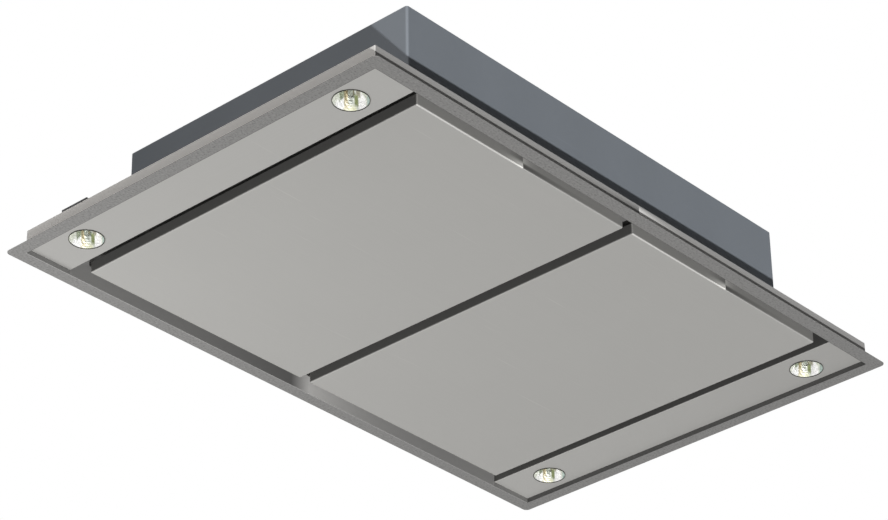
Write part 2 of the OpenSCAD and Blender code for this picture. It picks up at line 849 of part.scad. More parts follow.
// The board hangs on the standoffs with its parts facing down.
module circuit_board() {
    board_l = control_l - 2 * control_wall - 2 * board_margin;
    board_w = control_w - 2 * control_wall - 2 * board_margin;
    top = lid_z - control_wall - standoff_h;
    face = top - board_t;
    color("darkgreen") at_control() {
        centred_box([board_l, board_w, board_t], face);
        for (i = [-1 : 1]) translate([board_l / 4, i * board_w / 4, 0])
            centred_box([relay_l, relay_w, relay_h], face - relay_h);
        translate([-board_l / 4, -board_w * capacitor_share, face - capacitor_h])
            cylinder(r = capacitor_r, h = capacitor_h);
        translate([-board_l / 4, 0, 0])
            centred_box([transformer_l, transformer_l, transformer_h], face - transformer_h);
        translate([0, board_w / 2 - terminal_w, 0])
            centred_box([terminal_l, terminal_w, terminal_h], face - terminal_h);
    }
}

module along_gland() {
    translate([gland_x, housing_y, gland_z]) rotate([-90, 0, 0]) children();
}

module cable_gland() {
    length = gland_nut_h + housing_sheet + gland_reach;
    inner_end = gland_reach - length;
    color("black") along_gland() difference() {
        union() {
            translate([0, 0, inner_end]) cylinder(r = gland_r, h = length);
            translate([0, 0, inner_end]) cylinder(r = gland_nut_r, h = gland_nut_h, $fn = 6);
            cylinder(r = gland_nut_r, h = gland_nut_h, $fn = 6);
        }
        translate([0, 0, inner_end - over]) cylinder(r = gland_bore_r, h = length + 2 * over);
    }
}

// Hanging brackets: a foot on the lid, a riser and a flange with the hole
// for the ceiling rod.

module at_hangers() {
    for (sx = [0, 1], sy = [0, 1]) mirror([sx, 0, 0]) mirror([0, sy, 0])
        translate([hanger_x, hanger_y, housing_top_z]) children();
}

module at_hanger_screws() {
    for (place = [screw_inset, hanger_l - screw_inset]) at_hangers()
        translate([-place, 0, 0]) children();
}

// Places of the screws that hold the housing's folds
module at_fold_screws(z) {
    x = housing_x - fold_w / 2;
    y = housing_y - fold_w / 2;
    for (side = SIDES) {
        for (share = fold_screw_x_shares) translate([share * housing_x, side * y, z]) children();
        for (share = fold_screw_y_shares) translate([side * x, share * housing_y, z]) children();
    }
}

module screw_hole() {
    cylinder(r = screw_r + run_fit, h = 2 * screw_l, center = true);
}

module screw(seat, length) {
    translate([0, 0, seat - length]) cylinder(r = screw_r, h = length);
    translate([0, 0, seat]) cylinder(r = screw_head_r, h = screw_head_h);
}

module hanging_brackets() {
    riser_h = hanger_rise + hanger_t;
    color("darkgray") difference() {
        at_hangers() {
            translate([-hanger_l, -hanger_w / 2, 0]) cube([hanger_l, hanger_w, hanger_t]);
            translate([-hanger_t, -hanger_w / 2, 0]) cube([hanger_t, hanger_w, riser_h]);
            translate([-hanger_t, -hanger_w / 2, hanger_rise]) cube([hanger_l, hanger_w, hanger_t]);
        }
        at_hangers() translate([hanger_l / 2, 0, hanger_rise - over])
            cylinder(r = hanger_hole_r, h = hanger_t + 2 * over);
        at_hanger_screws() screw_hole();
    }
}

module screws() {
    color("silver") {
        at_hanger_screws() screw(hanger_t, screw_l);
        at_fold_screws(tray_h) screw(housing_sheet, fold_screw_l);
        at_fold_screws(lid_z) screw(housing_sheet, fold_screw_l);
    }
}

flange_frame();
tray_shell();
light_strip(-1);  // light_strip_left
light_strip(1);  // light_strip_right
lamp_bezel(1);  // lamp_bezel_1
lamp_reflector(1);  // lamp_reflector_1
lamp_bulb(1);  // lamp_bulb_1
lamp_bezel(2);  // lamp_bezel_2
lamp_reflector(2);  // lamp_reflector_2
lamp_bulb(2);  // lamp_bulb_2
lamp_bezel(3);  // lamp_bezel_3
lamp_reflector(3);  // lamp_reflector_3
lamp_bulb(3);  // lamp_bulb_3
lamp_bezel(4);  // lamp_bezel_4
lamp_reflector(4);  // lamp_reflector_4
lamp_bulb(4);  // lamp_bulb_4
lamp_housings();
lamp_terminal();
lamp_sockets();
panel_skin(-1);  // panel_skin_left
panel_skin(1);  // panel_skin_right
panel_back(-1);  // panel_back_left
panel_back(1);  // panel_back_right
hinge_leaves(-1);  // hinge_leaves_left
hinge_leaves(1);  // hinge_leaves_right
strike_plates(-1);  // strike_plates_left
strike_plates(1);  // strike_plates_right
hinge_brackets();
hinge_pins();
catch_magnets();
filter_frame(-1);  // filter_frame_left
filter_frame(1);  // filter_frame_right
filter_mesh(-1);  // filter_mesh_left
filter_mesh(1);  // filter_mesh_right
filter_latch(-1);  // filter_latch_left
filter_latch(1);  // filter_latch_right
filter_rails();
housing_wrap();
housing_back();
housing_lid();
blower_scroll();
inlet_ring();
impeller();
motor_shaft();
motor();
motor_spider();
blower_mounts();
duct_plate();
duct_collar();
damper_flap(-1);  // damper_flap_front
damper_flap(1);  // damper_flap_back
damper_pin();
control_box();
control_cover();
circuit_board();
cable_gland();
hanging_brackets();
screws();
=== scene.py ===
import math

import bmesh
import bpy
from mathutils import Matrix, Vector


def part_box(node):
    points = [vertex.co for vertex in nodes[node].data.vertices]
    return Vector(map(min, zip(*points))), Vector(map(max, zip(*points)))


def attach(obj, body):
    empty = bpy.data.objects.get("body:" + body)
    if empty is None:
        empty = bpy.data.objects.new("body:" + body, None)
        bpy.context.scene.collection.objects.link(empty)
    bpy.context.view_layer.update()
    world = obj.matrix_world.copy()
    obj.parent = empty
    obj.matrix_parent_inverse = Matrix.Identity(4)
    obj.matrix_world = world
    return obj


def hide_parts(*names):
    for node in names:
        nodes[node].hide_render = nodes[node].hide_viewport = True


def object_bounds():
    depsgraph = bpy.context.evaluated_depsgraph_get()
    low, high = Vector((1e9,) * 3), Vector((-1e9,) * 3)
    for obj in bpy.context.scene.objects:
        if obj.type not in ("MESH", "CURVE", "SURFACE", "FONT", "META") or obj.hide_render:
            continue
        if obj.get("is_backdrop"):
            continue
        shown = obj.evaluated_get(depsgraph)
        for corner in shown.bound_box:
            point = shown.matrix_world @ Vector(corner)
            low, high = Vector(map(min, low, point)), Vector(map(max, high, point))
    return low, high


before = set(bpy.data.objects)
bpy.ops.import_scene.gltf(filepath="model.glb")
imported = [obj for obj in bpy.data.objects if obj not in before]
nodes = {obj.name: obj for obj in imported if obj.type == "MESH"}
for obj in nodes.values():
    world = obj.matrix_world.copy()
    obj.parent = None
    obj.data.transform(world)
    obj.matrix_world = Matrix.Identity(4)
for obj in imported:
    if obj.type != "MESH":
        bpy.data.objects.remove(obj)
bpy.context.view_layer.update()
scene = bpy.context.scene
scene.view_settings.view_transform = "Standard"

# View, lights and floor
# The hood hangs in the air as it does under a ceiling, and the camera looks up at it.
# A hard light comes from below at the front left, a soft one lies close under the back
# left corner, and two more light the sides that face away from them.

view_azimuth = math.radians(41.55629)
view_elevation = math.radians(30.93155)
view_roll = math.radians(-0.93290)
camera_data = bpy.data.cameras.new("view")
camera_data.lens = 130.269
camera_data.clip_end = 60.0
camera = bpy.data.objects.new("view", camera_data)
camera.rotation_mode = "QUATERNION"
camera.rotation_quaternion = (Matrix.Rotation(view_azimuth - math.pi / 2, 3, "Z")
                              @ Matrix.Rotation(math.pi / 2 + view_elevation, 3, "X")
                              @ Matrix.Rotation(view_roll, 3, "Z")).to_quaternion()
camera.location = (-2.983655, -2.615803, -2.293345)
scene.collection.objects.link(camera)
scene.camera = camera


def add_light(name, kind, place, travel, power, **settings):
    data = bpy.data.lights.new(name, kind)
    data.energy = power
    for key, value in settings.items():
        setattr(data, key, value)
    light = bpy.data.objects.new(name, data)
    light.rotation_mode = "QUATERNION"
    light.rotation_quaternion = Vector(travel).to_track_quat("-Z", "Y")
    light.location = place
    scene.collection.objects.link(light)
    return light


add_light("key", "SUN", place=(-1.2, -1.8, -2.2), travel=(0.387, 0.578, 0.717), power=1.90,
          angle=math.radians(1.2))
add_light("side", "SUN", place=(-3.0, 0.0, 1.0), travel=(0.94, 0.0, -0.34), power=0.64,
          angle=math.radians(8.0), color=(1.0, 0.97, 0.94))
add_light("behind", "SUN", place=(1.5, 2.0, 2.5), travel=(-0.45, -0.55, -0.70), power=2.00,
          angle=math.radians(12.0))
near_place = Vector((-0.75, 0.80, -0.75))
near_aim = Vector((-0.25, 0.20, 0.0))
near = add_light("near", "AREA", place=near_place, travel=near_aim - near_place, power=3.0,
                 shape="DISK", size=0.8)
near.visible_camera = False
near.visible_glossy = False


class Value:
    """A value in a node tree. A sum or a product of it adds the node that works it out."""

    def __init__(self, socket):
        self.socket = socket
        self.tree = socket.id_data

    def step(self, operation, *others):
        return put_node(self.tree, "ShaderNodeMath", dict(enumerate((self, *others))), operation=operation)

    def __add__(self, other):
        return self.step("ADD", other)

    def __mul__(self, other):
        return self.step("MULTIPLY", other)

    def __sub__(self, other):
        return self.step("SUBTRACT", other)

    def __rsub__(self, number):
        return put_node(self.tree, "ShaderNodeMath", {0: number, 1: self}, operation="SUBTRACT")

    def __truediv__(self, other):
        return self.step("DIVIDE", other)

    def __pow__(self, other):
        return self.step("POWER", other)

    def __abs__(self):
        return self.step("ABSOLUTE")

    __radd__ = __add__

    def above(self, limit):
        """1 where the value is above the limit, and 0 elsewhere."""
        return self.step("GREATER_THAN", limit)

    def below(self, limit):
        """1 where the value is below the limit, and 0 elsewhere."""
        return self.step("LESS_THAN", limit)

    def clamped(self):
        """Holds the result of the last step between 0 and 1."""
        self.socket.node.use_clamp = True
        return self


def put_node(tree, kind, inputs, output=0, **settings):
    """Adds a node, fills its inputs, which go by name or else by number where their names repeat,
    and gives one of its outputs, or several for a tuple of names."""
    node = tree.nodes.new(kind)
    for key, setting in settings.items():
        setattr(node, key, setting)
    for key, given in inputs.items():
        for source in given if isinstance(given, list) else [given]:
            if isinstance(source, Value):
                tree.links.new(source.socket, node.inputs[key])
            else:
                node.inputs[key].default_value = source
    if isinstance(output, tuple):
        return [Value(node.outputs[label]) for label in output]
    return Value(node.outputs[output]) if len(node.outputs) else None


def seen_mask(tree):
    """1 for what the camera, a reflection or a glass sees, 0 for diffuse light."""
    camera_ray, glossy_ray, glass_ray = put_node(
        tree, "ShaderNodeLightPath", {}, ("Is Camera Ray", "Is Glossy Ray", "Is Transmission Ray"))
    return ((camera_ray + glossy_ray).clamped() + glass_ray).clamped()


world = bpy.data.worlds.new("studio")
scene.world = world
world.use_nodes = True
tree = world.node_tree
tree.nodes.clear()
white = (1.0, 1.0, 1.0, 1.0)
lighting = put_node(tree, "ShaderNodeBackground", {"Color": white, "Strength": 0.03})
seen = put_node(tree, "ShaderNodeBackground", {"Color": white, "Strength": 1.0})
studio = put_node(tree, "ShaderNodeMixShader", {0: seen_mask(tree), 1: lighting, 2: seen})
put_node(tree, "ShaderNodeOutputWorld", {"Surface": studio})

# The floor lies far below. From underneath it is clear, so that the hood can be seen.
floor_z = -2.45
floor_reach = 14.0
floor_corners = [(x * floor_reach, y * floor_reach, floor_z)
                 for x, y in ((-1, -1), (1, -1), (1, 1), (-1, 1))]
floor_mesh = bpy.data.meshes.new("floor")
floor_mesh.from_pydata(floor_corners, [], [(0, 1, 2, 3)])
floor = bpy.data.objects.new("floor", floor_mesh)
scene.collection.objects.link(floor)
floor.visible_shadow = False
floor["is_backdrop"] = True
pale = bpy.data.materials.new("pale floor")
pale.use_nodes = True
tree = pale.node_tree
tree.nodes.clear()
shown = put_node(tree, "ShaderNodeBsdfDiffuse", {"Color": (0.80, 0.80, 0.79, 1.0)})
bounced = put_node(tree, "ShaderNodeBsdfDiffuse", {"Color": (0.12, 0.12, 0.12, 1.0)})
from_above = put_node(tree, "ShaderNodeMixShader", {0: seen_mask(tree), 1: bounced, 2: shown})
clear = put_node(tree, "ShaderNodeBsdfTransparent", {})
underneath = put_node(tree, "ShaderNodeNewGeometry", {}, "Backfacing")
either = put_node(tree, "ShaderNodeMixShader", {0: underneath, 1: from_above, 2: clear})
put_node(tree, "ShaderNodeOutputMaterial", {"Surface": either})
floor_mesh.materials.append(pale)


# Flange frame
# The thin border that lies against the ceiling. It is cut from stainless sheet, ground to a
# satin finish along the hood, and welded to the tray's walls.


def make_group(name, inputs, outputs):
    """A node group with these inputs, whose defaults are numbers or vectors, and its inputs as values."""
    tree = bpy.data.node_groups.new(name, "ShaderNodeTree")
    for label, default in inputs.items():
        kind = "NodeSocketFloat" if isinstance(default, float) else "NodeSocketVector"
        socket = tree.interface.new_socket(label, in_out="INPUT", socket_type=kind)
        if default is not None:
            socket.default_value = default
    for label in outputs:
        tree.interface.new_socket(label, in_out="OUTPUT", socket_type="NodeSocketFloat")
    return tree, put_node(tree, "NodeGroupInput", {}, tuple(inputs))


def parts(place):
    """The X, Y and Z of a place or a facing, as three values."""
    return put_node(place.tree, "ShaderNodeSeparateXYZ", {0: place}, ("X", "Y", "Z"))


def ramp(value, none_at, full_at):
    """0 where the value is none_at, 1 where it is full_at, and straight in between."""
    return ((value - none_at) * (1.0 / (full_at - none_at))).clamped()


def sheet_grain():
    """Fine lines along one direction, broad cloudiness and a few hair scratches."""
    tree, (place, stretch, line_depth, cloud_depth, scratches) = make_group(
        "sheet grain",
        {"Place": None, "Stretch": (3.0, 900.0, 900.0), "Lines": 0.05, "Clouds": 0.03, "Scratches": 0.1},
        ("Tone", "Rough", "Height"))
    stretched = put_node(tree, "ShaderNodeVectorMath", {0: place, 1: stretch}, operation="MULTIPLY")
    lines = put_node(tree, "ShaderNodeTexNoise",
                     {"Vector": stretched, "Scale": 1.0, "Detail": 3.0, "Roughness": 0.6})
    clouds = put_node(tree, "ShaderNodeTexNoise",
                      {"Vector": place, "Scale": 7.0, "Detail": 3.0, "Roughness": 0.55})
    turned = put_node(tree, "ShaderNodeMapping",
                      {"Vector": place, "Rotation": (0.3, 0.4, 0.9), "Scale": (9.0, 240.0, 240.0)})
    hairs = put_node(tree, "ShaderNodeTexNoise", {"Vector": turned, "Scale": 1.0, "Detail": 1.0})
    noise_mean, roughness_share = 0.5, 1.5
    hair_mask = ramp(hairs, none_at=0.72, full_at=0.845)
    hair = hair_mask * scratches
    line_part = (lines - noise_mean) * line_depth
    cloud_part = (clouds - noise_mean) * cloud_depth
    put_node(tree, "NodeGroupOutput", {
        "Tone": line_part + cloud_part + 1.0 + hair,
        "Rough": line_part * roughness_share - hair,
        "Height": lines - hair_mask})
    return tree


def painted_facing_light():
    """Painted light by facing: a wall that faces left, right, front or back is made lighter or darker by
    its own tone, and the bends get a painted highlight. Half-way round a bend, turning is a quarter."""
    tree, (facing, left, right, front, back, bend) = make_group(
        "painted facing light",
        {"Facing": None, "Left": 1.0, "Right": 1.0, "Front": 1.0, "Back": 1.0, "Bend Highlight": 0.0}, ("Tone",))
    x, y, z = parts(facing)
    tone = 1.0
    for axis, sign, wall_tone in ((x, -1.0, left), (x, 1.0, right), (y, -1.0, front), (y, 1.0, back)):
        towards = (axis * sign).clamped()
        tone = tone + towards * towards * (wall_tone - 1.0)
    # The painted highlight follows how far a face is turned round a bend.
    square_x, square_y, square_z = x * x, y * y, z * z
    turning = square_z * (square_x + square_y) + square_x * square_y
    turning_half_way = 0.25
    put_node(tree, "NodeGroupOutput", {"Tone": tone + turning / turning_half_way * bend})
    return tree


grain_group = sheet_grain()
painted_facing_group = painted_facing_light()


def start_material(name):
    """A material, its tree, and the place and the facing of a point on the piece that it is on."""
    material = bpy.data.materials.new(name)
    material.use_nodes = True
    tree = material.node_tree
    tree.nodes.clear()
    place, facing = put_node(tree, "ShaderNodeTexCoord", {}, ("Object", "Normal"))
    return material, tree, place, facing


def finish_material(tree, inputs):
    shader = put_node(tree, "ShaderNodeBsdfPrincipled", inputs)
    put_node(tree, "ShaderNodeOutputMaterial", {"Surface": shader})


def group_tone(group, facing, inputs):
    """The tone that a group gives to a point with this facing."""
    return put_node(facing.tree, "ShaderNodeGroup", {"Facing": facing, **inputs}, "Tone", node_tree=group)


def scaled(tree, colour, tone):
    """The colour times a tone that changes over the surface."""
    return put_node(tree, "ShaderNodeVectorMath", {0: colour, "Scale": tone}, operation="SCALE")


def sheet_metal(name, colour, metallic, roughness, stretch=(3.0, 900.0, 900.0), lines=0.05, clouds=0.03,
                scratches=0.08, specular=0.5, walls=None, extra_tone=None):
    material, tree, place, facing = start_material(name)
    tone, rough, height = put_node(
        tree, "ShaderNodeGroup",
        {"Place": place, "Stretch": stretch, "Lines": lines, "Clouds": clouds, "Scratches": scratches},
        ("Tone", "Rough", "Height"), node_tree=grain_group)
    # Walls get painted light by their facing, and bends a painted highlight.
    if walls:
        tone = tone * group_tone(painted_facing_group, facing, walls)
    if extra_tone:
        tone = tone * extra_tone(place, facing)
    raised = put_node(tree, "ShaderNodeBump", {"Height": height, "Strength": 0.35, "Distance": 0.00002})
    finish_material(tree, {
        "Base Color": scaled(tree, colour, tone), "Roughness": (rough + roughness).clamped(),
        "Metallic": metallic, "Specular IOR Level": specular, "Normal": raised})
    return material


def finish_nodes(material, *names):
    """Gives its material to each CAD piece that is shown as it is."""
    for name in names:
        mesh = nodes[name].data
        mesh.materials.clear()
        mesh.materials.append(material)


def new_piece(name, mesh, material, body, stands_for, smooth_angle=None):
    """Shows a mesh in place of a CAD piece. It moves with the body that it rides on."""
    mesh.materials.clear()
    mesh.materials.append(material)
    piece = bpy.data.objects.new(name, mesh)
    scene.collection.objects.link(piece)
    if smooth_angle is not None:
        mesh.shade_smooth()
        mesh.set_sharp_from_angle(angle=math.radians(smooth_angle))
    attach(piece, body)
    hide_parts(stands_for)
    return piece


def mesh_of(name, made):
    """Turns a finished bmesh into a mesh."""
    mesh = bpy.data.meshes.new(name)
    made.to_mesh(mesh)
    made.free()
    return mesh


def box(node):
    """The corners of a CAD piece to a hundredth of a millimetre, without its file's rounding errors."""
    return [[round(number, 5) for number in corner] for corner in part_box(node)]


def at(number, place, within=0.0004):
    """Whether a coordinate lies at a place, give or take less than a sheet."""
    return abs(number - place) < within


straight = 0.999


def level(along):
    """Whether an edge runs straight along the hood or straight across it."""
    return max(abs(along.x), abs(along.y)) > straight


def soften(node, material, radius, picked):
    """A CAD piece with the sharp edges that picked(middle, along) chooses rounded off."""
    merge_distance, flat_angle, sharp_angle = 0.00002, math.radians(0.5), math.radians(40.0)
    made = bmesh.new()
    made.from_mesh(nodes[node].data)
    bmesh.ops.remove_doubles(made, verts=made.verts, dist=merge_distance)
    bmesh.ops.dissolve_limit(made, angle_limit=flat_angle, verts=made.verts, edges=made.edges)
    chosen = []
    for e in made.edges:
        if len(e.link_faces) != 2 or abs(e.calc_face_angle_signed()) < sharp_angle:
            continue
        middle = (e.verts[0].co + e.verts[1].co) / 2
        along = (e.verts[1].co - e.verts[0].co).normalized()
        if picked(middle, along):
            chosen.append(e)
    bmesh.ops.bevel(made, geom=chosen, offset=radius, segments=2, profile=0.5, affect="EDGES",
                    clamp_overlap=True)
    bmesh.ops.triangulate(made, faces=[f for f in made.faces if len(f.verts) > 4])
    new_piece(node + "_sheet", mesh_of(node + "_sheet", made), material, "hood", node)


flange_x, flange_y, sheet = box("flange_frame")[1]
half_border = 0.010
flange_steel = sheet_metal("flange satin steel", (0.372, 0.367, 0.359), metallic=0.05, roughness=0.45,
                           stretch=(260.0, 420.0, 420.0), lines=1.20, specular=0.2)


def at_flange_rim(middle, along):
    """The lower outer edges, with the arcs at the corners."""
    return at(middle.z, 0.0) and (abs(middle.x) > flange_x - half_border or
                                  abs(middle.y) > flange_y - half_border)


soften("flange_frame", flange_steel, radius=0.0003, picked=at_flange_rim)

# Tray shell
# The folded stainless pan that goes up into the ceiling: four walls and a top plate with
# two windows for the filters. Its long walls carry painted reflection bands, which meet half-way.

tray_x, tray_y, tray_top = box("tray_shell")[1]
pocket_x, pocket_y = tray_x - sheet, tray_y - sheet
strip_edge = box("light_strip_right")[0][0]
into_wall, edge_limit = 0.0004, 0.0003
nearly_square_on = 0.7


def make_painted_reflection_bands():
    """Painted reflection bands: beside the middle a front-facing wall is made lighter or darker one way on
    the left and another on the right, each over its own reach, with a step between them as wide as Blend.
    With Lower, the left changes more at its lower edge and the right less at its upper edge. Both fade at
    the top of a high wall, and Glint is how strong the painted highlight on the bend under the left part
    is."""
    tree, inputs = make_group(
        "painted reflection bands",
        {"Place": None, "Facing": None, "Middle": 0.0, "Left": -0.4, "Right": 0.6, "Left Reach": 0.25,
         "Right Reach": 0.1, "Blend": 0.0005, "Lower": 0.0, "Glint": 0.0}, ("Tone",))
    place, facing, middle, left, right, left_reach, right_reach, blend, lower, glint = inputs
    x, _, z = parts(place)
    _, facing_y, facing_z = parts(facing)
    from_middle = x - middle
    on_right = (from_middle / blend + 1.0).clamped()
    on_left = 1.0 - on_right

    def closeness(sign, reach):
        """1 at the middle, falling fast at first, and 0 at the end of the reach on one side."""
        return (1.0 - from_middle * sign / reach).clamped() ** 3.0

    # How strong the painted light beside the middle at the upper edge is, and how far it reaches.
    corner_painted_light, corner_reach = 0.7, 0.04
    low_down = ramp(z, none_at=0.01448, full_at=0.00799)
    high_up = ((1.0 - low_down) ** 2.0 * lower).clamped()
    left_part = (low_down * lower + left) * closeness(-1.0, left_reach)
    right_part = right * closeness(1.0, right_reach) * (1.0 - high_up)
    corner = high_up * corner_painted_light * closeness(1.0, corner_reach)
    change = on_right * (right_part + corner) + on_left * left_part
    change = change * ramp(z, none_at=0.03433, full_at=0.02767) * facing_y.below(-nearly_square_on)
    # A painted highlight on the bend under the left part.
    product_half_way = 0.5
    front_bend_highlight = (facing_y * facing_z / product_half_way).clamped() * on_left
    put_node(tree, "NodeGroupOutput", {"Tone": change + front_bend_highlight * glint + 1.0})
    return tree


painted_band_group = make_painted_reflection_bands()


def painted_bands(place, facing, values):
    """The painted reflection bands of a wall."""
    return group_tone(painted_band_group, facing, {"Place": place, **values})


def changed(tone, mask, by):
    """A tone that is brighter by this share where the mask is 1, or duller where by is below 0."""
    return (mask * by + 1.0) * tone


def tray_painted_light(place, facing):
    """Painted reflection bands on the walls, painted light by facing, painted light brighter towards the
    back and at the top of the outer walls, painted shade on the pocket's end walls by the strips and on
    its top plate, and a darker lower edge.
    """
    x, y, z = parts(place)
    outer = painted_bands(place, facing,
                    {"Left": -0.44, "Right": 1.6, "Left Reach": 0.25, "Right Reach": 0.15})
    # Painted light by facing on the outer walls, then painted light brighter towards the back and at the
    # top.
    outer = outer * group_tone(painted_facing_group, facing, {"Left": 1.98, "Front": 1.04})
    outer = changed(outer, y, by=0.18)
    outer = changed(outer, ramp(z, none_at=0.028, full_at=0.033), by=0.06)
    inner = painted_bands(place, facing, {"Middle": 0.030, "Left": -0.55, "Right": 1.08, "Left Reach": 0.9,
                                    "Right Reach": 0.35, "Blend": 0.038})
    # Painted shade by facing on the walls inside the pocket, at its ends by the strips, and on the top
    # plate.
    inner = inner * group_tone(painted_facing_group, facing, {"Left": 0.27, "Front": 0.60, "Back": 0.67})
    off_middle = abs(x)
    inner = changed(inner, off_middle.above(strip_edge), by=-0.30)
    inner = changed(inner, parts(facing)[2].below(-nearly_square_on), by=-0.55)
    inside = off_middle.below(pocket_x + into_wall) * abs(y).below(pocket_y + into_wall)
    # The lower edge is darker, except at the back.
    at_edge = z.below(edge_limit) * y.below(pocket_y - edge_limit)
    return changed(inner * inside + outer * (1.0 - inside), at_edge, by=-0.45)


# The tray's bends get a painted highlight.
tray_steel = sheet_metal("tray satin steel", (0.640, 0.632, 0.618), metallic=0.02, roughness=0.45,
                         lines=0.10, clouds=0.05, specular=0.04, walls={"Bend Highlight": 0.5}, extra_tone=tray_painted_light)


def at_tray_bend(middle, along):
    """The upright corners, and the edges round the top plate."""
    at_end, at_side = at(abs(middle.x), tray_x), at(abs(middle.y), tray_y)
    return at_end and at_side or at(middle.z, tray_top) and (at_end or at_side)


soften("tray_shell", tray_steel, radius=0.0012, picked=at_tray_bend)

# Light strips
# Two folded stainless plates at the ends of the pocket, each with two round holes for lamps.
# They are ground across the hood and held by their folded edges.

strip_low = box("light_strip_right")[0][2]
# How strong the painted light aslant over the strips is, and the mean tone.
painted_slope, mean_tone = 0.3, 1.04


def strip_painted_light(place, facing):
    """Painted light that grows and fades aslant over the hood."""
    x, y, _ = parts(place)
    return x * y * painted_slope + mean_tone


def at_strip_bend(middle, along):
    """The three folded edges and the edge at the panels, on the strip's lower face."""
    return at(middle.z, strip_low) and (at(abs(middle.x), strip_edge) or at(abs(middle.x), pocket_x) or
                                        at(abs(middle.y), pocket_y))


# Left-facing walls get painted shade, and the bends a painted highlight.
strip_steel = sheet_metal("strip satin steel", (0.640, 0.632, 0.608), metallic=0.08, roughness=0.42,
                          stretch=(900.0, 3.0, 900.0), specular=0.3, walls={"Left": 0.20, "Bend Highlight": 0.4},
                          extra_tone=strip_painted_light)
for side in ("left", "right"):
    soften(f"light_strip_{side}", strip_steel, radius=0.0008, picked=at_strip_bend)

# Lamps
# Each spot lamp is a dark turned ring, a bright faceted reflector and a clear glass capsule
# on two pins, in a white ceramic holder under a low dark painted box.


def turned_piece(name, profile, centre, segments, closed=False, twist=0.0):
    """Turns a list of (radius, height) pairs round an upright axis; a radius of 0 is a pole."""
    made = bmesh.new()
    rings = []
    for row, (radius, height) in enumerate(profile):
        if radius <= 0.0:
            rings.append([made.verts.new((centre[0], centre[1], height))])
            continue
        ring = []
        for k in range(segments):
            angle = 2.0 * math.pi * (k + twist * row) / segments
            ring.append(made.verts.new((centre[0] + radius * math.cos(angle),
                                        centre[1] + radius * math.sin(angle), height)))
        rings.append(ring)
    pairs = list(zip(rings, rings[1:]))
    if closed:
        pairs.append((rings[-1], rings[0]))
    for lower, upper in pairs:
        for k in range(segments):
            corners = []
            for corner in (lower[k % len(lower)], lower[(k + 1) % len(lower)],
                           upper[(k + 1) % len(upper)], upper[k % len(upper)]):
                if corner not in corners:
                    corners.append(corner)
            made.faces.new(corners)
    bmesh.ops.recalc_face_normals(made, faces=made.faces)
    return mesh_of(name, made)


def middle_of(node):
    """How far along and across the hood the middle of a CAD piece is."""
    (low_x, low_y, _), (high_x, high_y, _) = box(node)
    return round((low_x + high_x) / 2, 5), round((low_y + high_y) / 2, 5)


def lamp_places():
    """How far a point is across and beyond the axis of its own lamp, seen aslant over the hood."""
    tree, (place,) = make_group("place in a lamp", {"Place": None}, ("Across", "Beyond"))
    aslant_x, aslant_y = 0.67, 0.74
    lamp_x, lamp_y = middle_of("lamp_bezel_4")
    x, y, _ = parts(place)
    from_x = x - x.step("SIGN") * lamp_x
    from_y = y - y.step("SIGN") * lamp_y
    put_node(tree, "NodeGroupOutput", {"Across": from_x * aslant_x - from_y * aslant_y,
                                       "Beyond": from_x * aslant_y + from_y * aslant_x})
    return tree


lamp_group = lamp_places()


def place_in_lamp(place):
    """How far across and beyond, as two values."""
    return put_node(place.tree, "ShaderNodeGroup", {"Place": place}, ("Across", "Beyond"),
                    node_tree=lamp_group)


def ring_painted_highlight(place, facing):
    """A painted highlight on both sides of the ring, across the lamp as it is seen aslant."""
    across, _ = place_in_lamp(place)
    return changed(1.0, ramp(abs(across), none_at=0.0205, full_at=0.0245), by=2.6)


lamp_ring_paint = sheet_metal("lamp ring dark satin", (0.040, 0.040, 0.032), metallic=0.1, roughness=0.45,
                              lines=0.02, clouds=0.1, extra_tone=ring_painted_highlight)

# The bowl's cold-light coat is pale, and over it lie soft-edged patches of painted light, laid across the
# lamp as it is seen aslant: the white ones are painted highlights, the dim and dark ones painted shade,
# and the tinted ones painted reflections. Each facet has its own tone. A patch is given by its colour, how
# far across the lamp its middle is and half its width, and how far beyond the axis it starts and ends, all
# in millimetres.
painted_reflection_patches = {
    "white left": ((1.00, 1.00, 1.00), -15.0, 6.8, 9.0, 22.5),
    "white right": ((1.00, 0.99, 1.00), 14.2, 5.8, 6.0, 22.5),
    "straw at far rim": ((0.90, 0.90, 0.72), -3.0, 10.5, 20.0, 30.0),
    "dim left": ((0.34, 0.38, 0.29), -11.0, 5.0, -30.0, 15.0),
    "dim right": ((0.46, 0.44, 0.36), 9.0, 3.6, -30.0, 14.5),
    "pale tan": ((0.72, 0.67, 0.52), -6.2, 4.0, 15.0, 23.2),
    "tan": ((0.40, 0.35, 0.22), -6.6, 3.4, -30.0, 18.5),
    "grey": ((0.38, 0.40, 0.36), -1.2, 4.0, 12.5, 20.5),
    "dark": ((0.18, 0.21, 0.18), 3.4, 2.4, 10.0, 17.0),
    "olive": ((0.34, 0.38, 0.20), 6.6, 3.2, 11.8, 21.5),
    "teal": ((0.56, 0.66, 0.64), 22.5, 2.6, -30.0, 30.0)}
mm = 0.001


